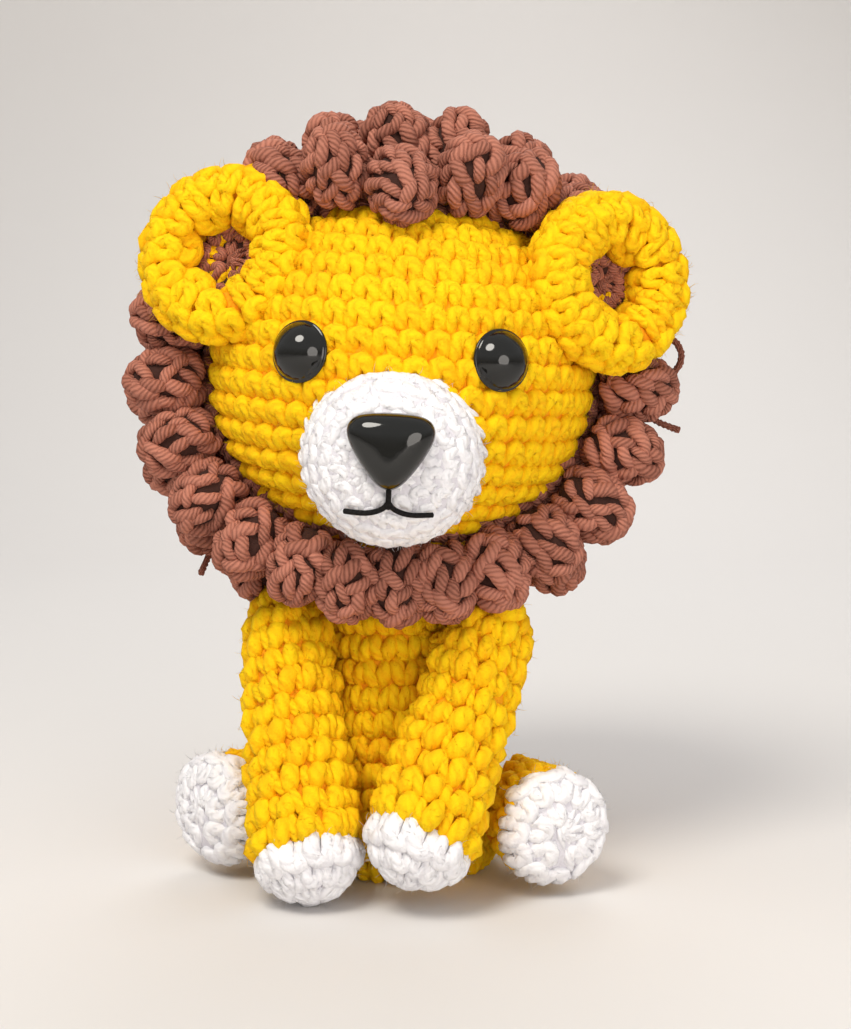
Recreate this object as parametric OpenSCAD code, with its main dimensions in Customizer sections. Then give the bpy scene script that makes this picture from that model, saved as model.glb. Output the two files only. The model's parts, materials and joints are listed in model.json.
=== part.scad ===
// Crocheted sitting lion toy with a bobble mane.
// The base stands on z = 0, the face looks along -Y, "left" is the -X side, sizes are millimetres.

/* [Head] */
// Widest radius of the head
head_r = 41; // [39:0.5:42]
// Half of the head's height
head_half_h = 38; // [36.5:0.5:38]
// Height of the head's centre above the ground
head_z = 108.5; // [108.5:0.5:112]
// Sideways tilt of the head, towards the right
head_tilt = 2.5; // [0:0.5:4]
// Thickness of the crocheted fabric
fabric = 2.6; // [2:0.1:3]

/* [Face] */
// Diameter of the eyes
eye_d = 12; // [10:1:12]
// Distance of each eye from the middle of the face
eye_x = 19.8; // [18:0.2:21]
// Height of the eyes above the head's centre
eye_z = 5.4; // [4:0.2:8]
// Radius of the muzzle
muzzle_r = 18.2; // [16:0.2:19]
// Distance that the muzzle's front stands off the head's centre
muzzle_reach = 52; // [50:0.5:54]
// Height of the muzzle's middle below the head's centre
muzzle_drop = 14.5; // [12:0.5:16]
// Width of the nose
nose_w = 17.5; // [14:0.5:18]

/* [Mane] */
// Diameter of one bobble
bobble_d = 13; // [11:0.2:13]
// Bobbles around the front row
front_bobbles = 24; // [20:1:24]
// Angle from one row of bobbles to the next
row_step = 17; // [16.5:0.5:18]

/* [Ears] */
// Outer diameter of an ear
ear_d = 37; // [34:0.5:38]
// Thickness of the ear's rolled rim
ear_rim = 12; // [10:0.5:12.5]

/* [Body] */
// Widest radius of the body
body_r = 24; // [22:0.5:24]
// Radius of the body just below the neck
neck_r = 16.5; // [14:0.5:16.5]
// Height of the body
body_h = 66; // [60:0.5:66]
// Turn of the body below the head, towards the left
body_turn = 12; // [0:1:14]

/* [Arms] */
// Radius of an arm at the paw
paw_r = 11.8; // [10:0.2:11.8]
// Radius of an arm at the shoulder
shoulder_r = 9.6; // [8:0.2:9.6]
// Length of the white paw
paw_len = 10; // [8:0.5:16]

/* [Legs] */
// Radius of a foot
foot_r = 12; // [10:0.2:12]
// Length of a leg from its back end to the sole
leg_len = 38.5; // [35:0.5:39]
// Outward splay of the legs
leg_splay = 33; // [25:1:40]

/* [Tail] */
// Diameter of the tail
tail_d = 6.4; // [5:0.2:8]

/* [Hidden] */
$fn = 64;

yellow = "#fdbf0f";
white = "#f3f3f6";
brown = "#8a5443";
wadding = "#efe9dc";
black = "#1b1a18";

gap = 0.3;             // clearance between soft pieces on different bodies
yarn = 1.2;            // thickness of the sewing yarn
fit = 0.1;             // clearance between a stuffing and its shell
far = 200;             // longer than the whole toy

// ---------- placing ----------
head_at = [0, -1, head_z];
foot_z = 15;

// Turns +Z onto the direction v
module along(v) {
    rotate([0, acos(v.z / norm(v)), atan2(v.y, v.x)]) children();
}
module in_head() {
    translate(head_at) rotate([0, head_tilt, 0]) children();
}
module in_body() {
    rotate([0, 0, -body_turn]) children();
}
// side is -1 for left and 1 for right; the children are drawn for the right side
module at_side(side) {
    if (side < 0) mirror([1, 0, 0]) children();
    else children();
}

// ---------- outlines of the round pieces ----------
function quarter(r, h, n = 8) = [for (i = [0:n]) [r * sin(90 * i / n), h * (1 - cos(90 * i / n))]];
function smooth(t) = t * t * (3 - 2 * t);

// A stuffed tube with two rounded ends, along +Z from 0; inset shrinks it evenly
function limb_outline(r0, r1, cap0, cap1, len, inset) =
    let (a = r0 - inset, b = r1 - inset, c0 = cap0 - inset, c1 = cap1 - inset)
    concat(
        [for (p = quarter(a, c0)) [p[0], p[1] + inset]],
        [for (t = [0.125:0.125:0.875]) [a + (b - a) * smooth(t), cap0 + (len - cap0 - cap1) * t]],
        [for (i = [0:8]) [b * cos(90 * i / 8), len - cap1 + c1 * sin(90 * i / 8)]]
    );

module head_form(inset = 0) {
    rotate_extrude() polygon(concat(
        [[0, inset - head_half_h]],
        [for (a = [-90:7.5:90])
            [head_r - head_half_h + (head_half_h - inset) * cos(a), (head_half_h - inset) * sin(a)]],
        [[0, head_half_h - inset]]
    ));
}

body_base_r = 16;      // radius of the flat base
body_base_h = 12;      // height over which the base rounds up
neck_round = 5;        // height over which the body rounds in at the top
neck_flat_r = 11;      // flat part of the body's top

function body_outline(inset) = concat(
    [[0, inset], [body_base_r - inset / 2, inset]],
    [for (a = [15:15:90])
        [body_base_r - inset / 2 + (body_r - body_base_r - inset / 2) * sin(a),
         inset + (body_base_h - inset) * (1 - cos(a))]],
    [for (t = [0.1:0.1:0.9])
        [body_r - inset + (neck_r - body_r) * sin(90 * t),
         body_base_h + (body_h - neck_round - body_base_h) * t]],
    [for (a = [0:15:90])
        [neck_flat_r + (neck_r - neck_flat_r - inset) * cos(a),
         body_h - neck_round + (neck_round - inset) * sin(a)]],
    [[0, body_h - inset]]
);
module body_form(inset = 0) {
    rotate_extrude() polygon(body_outline(inset));
}

// ---------- head ----------
eye_dir = [eye_x, -sqrt(pow(head_r, 2) - pow(eye_x, 2) - pow(eye_z, 2)), eye_z];
eye_at = 37.9 / norm(eye_dir) * eye_dir + [eye_x / 16, -eye_x / 9, 0];
eye_dome = 4;          // how far the eye's dome stands out
eye_shank_r = 1.6;
nose_shank_r = 2.4;
muzzle_dir = [-0.02, -1, -0.09];
muzzle_from = [-0.6, -head_r + 8, -muzzle_drop];
muzzle_len = muzzle_reach - head_r + 8;
nose_z = 4;            // height of the nose above the muzzle's middle

module in_eye(side) {
    in_head() at_side(side) translate(eye_at) along(eye_dir) children();
}
module in_muzzle() {
    in_head() translate(muzzle_from) along(muzzle_dir) rotate([0, 0, 180]) children();
}
module in_nose() {
    in_muzzle() translate([nose_z, 0, muzzle_len]) rotate([0, 7, 0]) children();
}

module head_shell() color(yellow) difference() {
    in_head() head_form(0);
    in_head() head_form(fabric);
    for (side = [-1, 1]) in_eye(side) cylinder(r = eye_shank_r, h = 20, center = true);
}
module head_stuffing() color(wadding) difference() {
    in_head() head_form(fabric + fit);
    for (side = [-1, 1]) in_eye(side) translate([0, 0, -9]) cylinder(r = 6.5, h = 12);
}

module muzzle_form(inset = 0) {
    rotate_extrude() polygon(concat(
        [[0, -2], [muzzle_r - inset, -2]],
        [for (i = [0:9]) [(muzzle_r - inset) * pow(cos(10 * i), 0.8),
                          4 + (muzzle_len - 4 - inset) * sin(10 * i)]],
        [[0, muzzle_len - inset]]
    ));
}
module muzzle_shell() color(white) difference() {
    in_muzzle() muzzle_form(0);
    in_muzzle() muzzle_form(fabric);
    in_head() head_form(0);
    in_nose() cylinder(r = nose_shank_r, h = 20, center = true);
}
module muzzle_stuffing() color(wadding) difference() {
    in_muzzle() muzzle_form(fabric + fit);
    in_head() head_form(-fit);
    in_nose() translate([0, 0, -10]) cylinder(r = 6.5, h = 12);
}
// Ring of sewing yarn round the foot of the muzzle
module muzzle_seam() color(white) difference() {
    in_muzzle() translate([0, 0, 7]) rotate_extrude() translate([muzzle_r + 0.3, 0]) circle(r = 1.3);
    in_muzzle() cylinder(r = muzzle_r + fit, h = far, center = true);
    in_head() head_form(0);
}
// Philtrum and two short arms of the mouth, stitched in black thread
mouth_d = 0.9;
mouth_points = [[-3.2, 0, 18.4], [-7.4, 0.3, 17.1], [-9.2, 4.4, 15.6], [-9.4, 8.6, 14.2]];
module rod(a, b, d) {
    translate(a) along(b - a) cylinder(d = d, h = norm(b - a), $fn = 16);
}
module mouth_thread() color(black) in_muzzle() {
    rod(mouth_points[0], mouth_points[1], mouth_d);
    for (side = [-1, 1]) {
        flip = [1, side, 1];
        for (i = [1:2]) rod([for (k = [0:2]) mouth_points[i][k] * flip[k]],
                            [for (k = [0:2]) mouth_points[i + 1][k] * flip[k]], mouth_d);
    }
}

module nose() color(black) in_nose() {
    difference() {
        hull() {
            for (y = [-1, 1]) translate([3.2, y * (nose_w / 2 - 3.6), 1]) sphere(r = 3.6, $fn = 32);
            translate([-4.7, 0, 1]) sphere(r = 3.1, $fn = 32);
            translate([0.4, 0, 2.8]) sphere(r = 3, $fn = 32);
        }
        translate([0, 0, -10]) cube([40, 40, 20], center = true);
    }
    translate([0, 0, -8]) cylinder(r = nose_shank_r, h = 8.5);
}
module washer(shank_r, r) {
    difference() {
        cylinder(r = r, h = 1.5);
        translate([0, 0, -1]) cylinder(r = shank_r, h = 4);
    }
}
module nose_washer() color(white) in_nose() translate([0, 0, -fabric - 2.6]) washer(nose_shank_r, 5.5);

module eye(side) color(black) in_eye(side) {
    ball = (pow(eye_d / 2, 2) + pow(eye_dome, 2)) / (2 * eye_dome);
    intersection() {
        translate([0, 0, eye_dome - ball + 1.2]) sphere(r = ball);
        translate([0, 0, 1.2]) cylinder(d = eye_d, h = 10);
    }
    translate([0, 0, 0.9]) cylinder(d = eye_d + 0.6, h = 0.8);
    translate([0, 0, -8]) cylinder(r = eye_shank_r, h = 9);
}
module eye_washer(side) color(white) in_eye(side) translate([0, 0, -fabric - 1.9]) washer(eye_shank_r, 5);

// ---------- mane ----------
hood_t = 2.2;          // thickness of the cap under the bobbles
rows = 6;
side_lat = -3;         // latitude of the front row beside the face, behind the widest ring
bobble_stand = 10.4;   // from the head's fabric to the middle of a bobble
chin_drop = 1;        // how much further the bobbles below the chin hang

// Latitude of a row, counted from the head's widest ring towards its back, at the angle psi from the top.
// The front row leans out over the forehead and comes forward below the chin.
function row_lean(psi) = -24 * pow(max(0, cos(psi)), 4) - 32 * pow((1 - cos(psi)) / 2, 3);
function row_lat(row, psi) = side_lat + row * row_step + row_lean(psi) * (1 - row / rows);
function head_point(lat, psi) =
    let (y = head_r * sin(lat),
         rho = cos(lat) / sqrt(pow(sin(psi) / head_r, 2) + pow(cos(psi) / head_half_h, 2)))
    [rho * sin(psi), y, rho * cos(psi)];
function unit(v) = v / norm(v);
function head_normal(p) = unit([p.x / pow(head_r, 2), p.y / pow(head_r, 2), p.z / pow(head_half_h, 2)]);
function stand_at(row, psi) = bobble_stand + (row == 0 ? chin_drop * pow((1 - cos(psi)) / 2, 12) : 0);
function row_count(row) = round(front_bobbles * cos(side_lat + row * row_step));

// The bobble stops short of the neck and of the shoulders
neck_clear = 25.5;
function clear_of_neck(p) = norm([p.x, p.y]) > neck_clear || p.z > 0;
// The front row starts on one side of the forelock and ends on its other side
function turn_in_row(row, k) = row == 0 ? 17 + 323 / (row_count(0) - 2) * k
                                        : 4 + 360 / row_count(row) * (k + (row % 2) / 2);

module bobble(lat, psi, stand) {
    base = head_point(lat, psi);
    dir = head_normal(base);
    if (clear_of_neck(base + bobble_stand * dir)) translate(base) along(dir) {
        translate([0, 0, stand]) sphere(d = bobble_d, $fn = 32);
        cylinder(r = bobble_d / 2 - 1.5, h = stand, $fn = 32);
    }
}
module mane_row(row) color(brown) difference() {
    in_head() for (k = [0:row_count(row) - 1]) {
        psi = turn_in_row(row, k);
        // the forelock takes the place of the top bobble in the front row
        if (row > 0 || abs((psi + 180) % 360 - 180) > 7) bobble(row_lat(row, psi), psi, stand_at(row, psi));
    }
    in_head() head_form(-hood_t);
    if (row == 0) for (side = [-1, 1]) ear_space(side);
}
module mane_hood() color(brown) difference() {
    in_head() intersection() {
        head_form(-hood_t);
        translate([-far / 2, -2, -far / 2]) cube(far);
    }
    in_head() head_form(0);
    for (side = [-1, 1]) ear_space(side);
    // open round the neck
    translate([0, 0, head_z - 60]) cylinder(r = 19, h = 50);
}
// A longer bobble that hangs over the forehead
module forelock() color(brown) difference() {
    in_head() hull() {
        translate([-2, -20, 42]) sphere(r = 6.4, $fn = 32);
        translate([-1, -26, 36.8]) sphere(r = 6.8, $fn = 32);
    }
    in_head() head_form(0);
}
// Two loose loops and two cut ends of mane yarn
loop_d = 1.5;
loops = [[[52, 4, 6], 5], [[0, -3, 49], 4]];
ends = [[[50, -5, -3], [60.5, -4, -9]], [[-38, -2, -38], [-42, -3, -45]]];
module mane_yarn_ends() color(brown) in_head() {
    for (l = loops) translate(l[0] + l[1] * unit([l[0].x, 0, l[0].z])) rotate([90, 0, 0])
        rotate_extrude($fn = 32) translate([l[1], 0]) circle(d = loop_d, $fn = 16);
    for (e = ends) rod(e[0], e[1], loop_d);
}

// ---------- ears ----------
ear_at = [[-37.4, -16.5, 24.1], [42.6, -15.5, 21.9]];       // left, right
ear_dir = [[-0.32, -0.9, 0.28], [0.48, -0.85, 0.18]];
module in_ear(side) {
    i = side < 0 ? 0 : 1;
    in_head() translate(ear_at[i]) along(ear_dir[i]) children();
}
module ear_space(side) {
    in_ear(side) translate([0, 0, -ear_rim / 2 - 0.4]) cylinder(d = ear_d + 0.8, h = ear_rim + 8);
}
module ear(side) color(yellow) difference() {
    in_ear(side) rotate_extrude() union() {
        translate([(ear_d - ear_rim) / 2, 0]) circle(d = ear_rim, $fn = 48);
        translate([0, -ear_rim / 2]) square([(ear_d - ear_rim) / 2, fabric]);
    }
    in_head() head_form(0);
}
module ear_centre(side) color(brown) difference() {
    in_ear(side) translate([0, 0, -ear_rim / 2 + fabric])
        cylinder(r1 = (ear_d - ear_rim) / 2 - 5.2, r2 = (ear_d - ear_rim) / 2 - 6.1, h = 2);
    in_head() head_form(0);
}
// Short run of sewing yarn where the ear meets the head
module ear_seam(side) color(yellow) difference() {
    in_head() intersection() {
        head_form(-1.6);
        translate(ear_at[side < 0 ? 0 : 1]) along(ear_dir[side < 0 ? 0 : 1])
            translate([0, 0, -ear_rim / 2 - 2]) cylinder(d = ear_d + 3, h = ear_rim + 4);
    }
    in_head() head_form(0);
    in_ear(side) translate([0, 0, -ear_rim]) cylinder(d = ear_d + 0.2, h = 2 * ear_rim + 6);
    in_head() translate([-far / 2, -2, -far / 2]) cube(far);
}

// ---------- neck and body ----------
wad_r = 9;
wad_h = 2.6;
module neck_wad() color(wadding) translate([0, 0, body_h + gap]) cylinder(r = wad_r, h = wad_h);
module neck_seam() color(yellow) translate([0, 0, body_h + gap + wad_h / 2])
    rotate_extrude() translate([wad_r + yarn, 0]) circle(r = yarn, $fn = 24);

module body_shell() color(yellow) difference() {
    in_body() body_form(0);
    in_body() body_form(fabric);
    translate([0, 0, body_h - 8]) cylinder(r = wad_r, h = 20);
}
module body_stuffing() color(wadding) in_body() body_form(fabric + fit);

// ---------- arms ----------
arm_top = [23.8, -12, 59.5];
shoulder_cap = 14;     // length over which the arm rounds in at the shoulder
paw_at = [12.2, -36, paw_r + 0.2];
paw_lift = [0.2, 4.6];                                       // left, right
function arm_low(side) = paw_at + [0, 0, paw_lift[side < 0 ? 0 : 1]];
function arm_dir(side) = unit(arm_low(side) - arm_top);
function arm_len(side) = norm(arm_low(side) - arm_top) + paw_r;

module in_arm(side) {
    in_body() at_side(side) translate(arm_top) along(arm_dir(side)) children();
}
module arm_form(side, inset = 0) {
    rotate_extrude() polygon(limb_outline(shoulder_r, paw_r, shoulder_cap, paw_r, arm_len(side), inset));
}
module arm_fabric(side, from, to) {
    in_arm(side) intersection() {
        difference() {
            arm_form(side, 0);
            arm_form(side, fabric);
        }
        translate([0, 0, from]) cylinder(r = 30, h = to - from);
    }
}
module arm_sleeve(side) color(yellow) arm_fabric(side, -1, arm_len(side) - paw_len);
module paw(side) color(white) arm_fabric(side, arm_len(side) - paw_len, arm_len(side) + 1);
module arm_stuffing(side) color(wadding) in_arm(side) arm_form(side, fabric + fit);
shoulder_at = [arm_top.x, arm_top.y - 3.5, arm_top.z - 8];
// Ring of sewing yarn between the arm and the body, round the arm's swing axis
module shoulder_seam(side) color(yellow) {
    in_body() at_side(side) translate(shoulder_at - [9.9, 0, 0]) rotate([0, 90, 0])
        rotate_extrude() translate([3.6, 0]) circle(r = yarn, $fn = 24);
}

// ---------- legs ----------
sole_at = [40, -24.1, foot_z];
leg_dir = [sin(leg_splay), -cos(leg_splay), 0];
sole_dome = 5;         // how far the sole bulges
hip_ball = body_r + 2.1;
hip_yarn = 1.6;         // yarn of the hip seams
hip_dir = unit([sole_at.x - 9, sole_at.y + 14.1, 0]);

module in_leg(side) {
    in_body() at_side(side) translate(sole_at - leg_len * leg_dir) along(leg_dir) children();
}
module leg_form(inset = 0) {
    rotate_extrude() polygon(limb_outline(foot_r - 2, foot_r, 9, sole_dome, leg_len, inset));
}
module hip_hollow() {
    translate([0, 0, foot_z]) sphere(r = hip_ball, $fn = 96);
}
module leg_fabric(side, from, to) {
    difference() {
        in_leg(side) intersection() {
            difference() {
                leg_form(0);
                leg_form(fabric);
            }
            translate([0, 0, from]) cylinder(r = 30, h = to - from);
        }
        hip_hollow();
    }
}
module leg_sleeve(side) color(yellow) leg_fabric(side, -1, leg_len - sole_dome);
module sole(side) color(white) leg_fabric(side, leg_len - sole_dome, leg_len + 1);
module leg_stuffing(side) color(wadding) difference() {
    in_leg(side) leg_form(fabric + fit);
    hip_hollow();
}
// Ring of sewing yarn between the leg and the body, round the leg's swing axis
module hip_seam(side) color(yellow) intersection() {
    in_body() at_side(side) translate([0, 0, foot_z] + (body_r + 1.2) * hip_dir) along(hip_dir)
        rotate_extrude() translate([7, 0]) circle(d = hip_yarn, $fn = 24);
    hip_hollow();
}

// ---------- tail ----------
tail_root = [0, 27.2, 15];
tail_mid = [0, 32, 7];
tail_tip = [9, 37, 6.6];
module tail() color(yellow) in_body() {
    for (p = [tail_mid, tail_tip]) translate(p) sphere(d = tail_d, $fn = 32);
    translate(tail_root) sphere(d = tail_d - 1.2, $fn = 32);
    rod(tail_root, tail_mid, tail_d - 1.2);
    rod(tail_mid, tail_tip, tail_d - 1.2);
}
tuft_r = 6.4;
module tail_tuft() color(brown) {
    in_body() translate(tail_tip + [4.6, 2, 0]) sphere(r = tuft_r);
}
module tail_seam() color(yellow) {
    in_body() translate(tail_root + [0, -1.6, 0]) rotate([90, 0, 0])
        rotate_extrude() translate([3, 0]) circle(r = 0.8, $fn = 24);
}

head_shell();
head_stuffing();
muzzle_shell();
muzzle_stuffing();
muzzle_seam();
mouth_thread();
nose();
nose_washer();
eye(-1);  // left_eye
eye(1);  // right_eye
eye_washer(-1);  // left_eye_washer
eye_washer(1);  // right_eye_washer
mane_hood();
mane_row(0);  // mane_row_1
mane_row(1);  // mane_row_2
mane_row(2);  // mane_row_3
mane_row(3);  // mane_row_4
mane_row(4);  // mane_row_5
mane_row(5);  // mane_row_6
forelock();
mane_yarn_ends();
ear(-1);  // left_ear
ear(1);  // right_ear
ear_centre(-1);  // left_ear_centre
ear_centre(1);  // right_ear_centre
ear_seam(-1);  // left_ear_seam
ear_seam(1);  // right_ear_seam
neck_wad();
neck_seam();
body_shell();
body_stuffing();
arm_sleeve(-1);  // left_arm_sleeve
arm_sleeve(1);  // right_arm_sleeve
paw(-1);  // left_paw
paw(1);  // right_paw
arm_stuffing(-1);  // left_arm_stuffing
arm_stuffing(1);  // right_arm_stuffing
shoulder_seam(-1);  // left_shoulder_seam
shoulder_seam(1);  // right_shoulder_seam
leg_sleeve(-1);  // left_leg_sleeve
leg_sleeve(1);  // right_leg_sleeve
sole(-1);  // left_sole
sole(1);  // right_sole
leg_stuffing(-1);  // left_leg_stuffing
leg_stuffing(1);  // right_leg_stuffing
hip_seam(-1);  // left_hip_seam
hip_seam(1);  // right_hip_seam
tail();
tail_tuft();
tail_seam();
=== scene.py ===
# %% [markdown]
# # A crocheted lion, stitch by stitch
# This toy is worked in the round from fat acrylic yarn, stuffed with wadding, and sewn together.
# Its whole look comes from one thing, the stitch, so most of this lesson is about drawing one stitch
# well and then laying a few thousand of them on the right surfaces. The first cell loads the frame
# that the part's moving bodies come from. Everything is made in its place in that frame.

# %% Load the frame
import json
import math
import random

import bmesh
import bpy
import numpy as np
from mathutils import Matrix, Vector

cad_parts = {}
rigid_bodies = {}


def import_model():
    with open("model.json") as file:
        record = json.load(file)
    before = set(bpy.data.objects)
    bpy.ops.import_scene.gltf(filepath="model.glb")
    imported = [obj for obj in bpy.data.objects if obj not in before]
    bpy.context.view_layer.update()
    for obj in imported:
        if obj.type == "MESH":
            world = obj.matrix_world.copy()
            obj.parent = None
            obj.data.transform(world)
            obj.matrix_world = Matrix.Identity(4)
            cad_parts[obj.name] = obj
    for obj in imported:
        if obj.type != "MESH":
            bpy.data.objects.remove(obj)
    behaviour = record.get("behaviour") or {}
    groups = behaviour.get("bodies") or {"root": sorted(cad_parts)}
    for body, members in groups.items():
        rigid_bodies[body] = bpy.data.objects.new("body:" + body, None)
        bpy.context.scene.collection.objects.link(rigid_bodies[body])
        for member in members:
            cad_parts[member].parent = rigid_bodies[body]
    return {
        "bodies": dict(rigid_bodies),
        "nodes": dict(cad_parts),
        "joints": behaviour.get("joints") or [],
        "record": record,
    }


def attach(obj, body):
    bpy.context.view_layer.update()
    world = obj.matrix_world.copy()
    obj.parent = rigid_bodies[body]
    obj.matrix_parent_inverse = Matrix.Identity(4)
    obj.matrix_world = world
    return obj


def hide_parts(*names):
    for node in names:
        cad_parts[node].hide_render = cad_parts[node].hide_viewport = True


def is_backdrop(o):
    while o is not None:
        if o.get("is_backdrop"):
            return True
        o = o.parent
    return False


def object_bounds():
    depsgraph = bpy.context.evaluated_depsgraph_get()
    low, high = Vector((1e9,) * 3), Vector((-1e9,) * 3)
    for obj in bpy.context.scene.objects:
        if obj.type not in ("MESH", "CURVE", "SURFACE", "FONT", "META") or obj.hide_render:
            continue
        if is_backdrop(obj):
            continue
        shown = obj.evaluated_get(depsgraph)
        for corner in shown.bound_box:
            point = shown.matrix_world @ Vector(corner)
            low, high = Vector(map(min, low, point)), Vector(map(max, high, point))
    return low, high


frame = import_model()
scene = bpy.context.scene
nodes = frame["nodes"]
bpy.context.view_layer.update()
MM = 0.001

# %% [markdown]
# ## The camera
# The toy is seen from the front, a little from above, as it is held out on a hand. The camera looks
# at a point inside the toy from 43 cm away, which gives the gentle perspective of a phone's lens: the
# paws in front look a little larger than the body behind them.

# %% Camera
look_at = Vector((5.2, 0.0, 78.0)) * MM
distance, elevation = 430 * MM, math.radians(6)
back = Vector((0.0, -math.cos(elevation), math.sin(elevation)))
camera = bpy.data.objects.new("camera", bpy.data.cameras.new("camera"))
scene.collection.objects.link(camera)
scene.camera = camera
camera.data.lens = 68.4
camera.data.sensor_width = 36
camera.location = look_at + back * distance
camera.rotation_mode = "QUATERNION"
camera.rotation_quaternion = (-back).to_track_quat("-Z", "Y")
camera.data.clip_start, camera.data.clip_end = 0.02, 20
print("camera at", [round(v, 3) for v in camera.location])

# %% [markdown]
# ## Light, floor and air
# Soft daylight from above and a little from the left models the stitches, a weaker light from the
# right keeps the far side open, and the air itself is brighter above than below, so the polished
# eyes and nose have a horizon to mirror. The floor curves up into a backdrop, both plain and pale.


# %% One helper for every node
def add(tree, kind, settings=None, inputs=None):
    """Adds a node, sets its properties, and links or sets its inputs by name or number."""
    node = tree.nodes.new(kind)
    for name, value in (settings or {}).items():
        setattr(node, name, value)
    for name, value in (inputs or {}).items():
        socket = node.inputs[name]
        if isinstance(value, bpy.types.NodeSocket):
            tree.links.new(value, socket)
        else:
            socket.default_value = value
    return node


def linear(hex_colour):
    """An sRGB hex colour as the linear numbers that shaders use."""
    parts = [int(hex_colour[i : i + 2], 16) / 255 for i in (1, 3, 5)]
    return [p / 12.92 if p <= 0.04045 else ((p + 0.055) / 1.055) ** 2.4 for p in parts] + [1.0]


# %% Lights and air
def softbox(name, place, size, watts, colour="#ffffff"):
    data = bpy.data.lights.new(name, "AREA")
    data.shape, data.size, data.energy = "DISK", size, watts
    data.color = linear(colour)[:3]
    lamp = bpy.data.objects.new(name, data)
    scene.collection.objects.link(lamp)
    lamp.location = place
    lamp.rotation_mode = "QUATERNION"
    lamp.rotation_quaternion = (look_at - lamp.location).to_track_quat("-Z", "Y")
    return lamp


softbox("key_softbox", Vector((-0.22, -0.42, 0.68)), 0.34, 3.9, "#fffaf0")
softbox("fill_softbox", Vector((0.35, -0.7, 0.16)), 0.5, 2.4, "#fff8f0")
softbox("rim_softbox", Vector((0.1, 0.6, 0.6)), 0.5, 2.0)

air = bpy.data.worlds.new("studio_air")
scene.world = air
air.use_nodes = True
tree = air.node_tree
tree.nodes.clear()
view_way = add(tree, "ShaderNodeTexCoord")
height = add(tree, "ShaderNodeSeparateXYZ", None, {0: view_way.outputs["Generated"]})
sky = add(tree, "ShaderNodeValToRGB", None, {0: height.outputs["Z"]})
sky.color_ramp.elements[0].position, sky.color_ramp.elements[0].color = 0.0, linear("#b9b4ae")
sky.color_ramp.elements[1].position, sky.color_ramp.elements[1].color = 0.35, linear("#ffffff")
glow = add(tree, "ShaderNodeBackground", None, {0: sky.outputs[0], 1: 0.55})
tree.links.new(glow.outputs[0], add(tree, "ShaderNodeOutputWorld").inputs["Surface"])
scene.view_settings.view_transform = "Standard"

# %% Floor and backdrop, one sheet that curves up behind the toy
sweep = [(-1.2, 0.0), (0.5, 0.0)]
sweep += [(0.5 + 0.3 * math.sin(a), 0.3 - 0.3 * math.cos(a)) for a in np.linspace(0.1, math.pi / 2, 12)]
sweep.append((0.8, 2.0))
floor_mesh = bpy.data.meshes.new("studio_floor")
floor_points = [(x, y, z) for y, z in sweep for x in (-2.0, 2.0)]
floor_mesh.from_pydata(floor_points, [], [(2 * i, 2 * i + 1, 2 * i + 3, 2 * i + 2) for i in range(len(sweep) - 1)])
floor_mesh.shade_smooth()
floor = bpy.data.objects.new("studio_floor", floor_mesh)
scene.collection.objects.link(floor)
floor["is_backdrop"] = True
paper = bpy.data.materials.new("seamless_backdrop_paper")
paper.use_nodes = True
paper.node_tree.nodes["Principled BSDF"].inputs["Base Color"].default_value = linear("#dfdcda")
paper.node_tree.nodes["Principled BSDF"].inputs["Roughness"].default_value = 0.9
floor_mesh.materials.append(paper)
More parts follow.
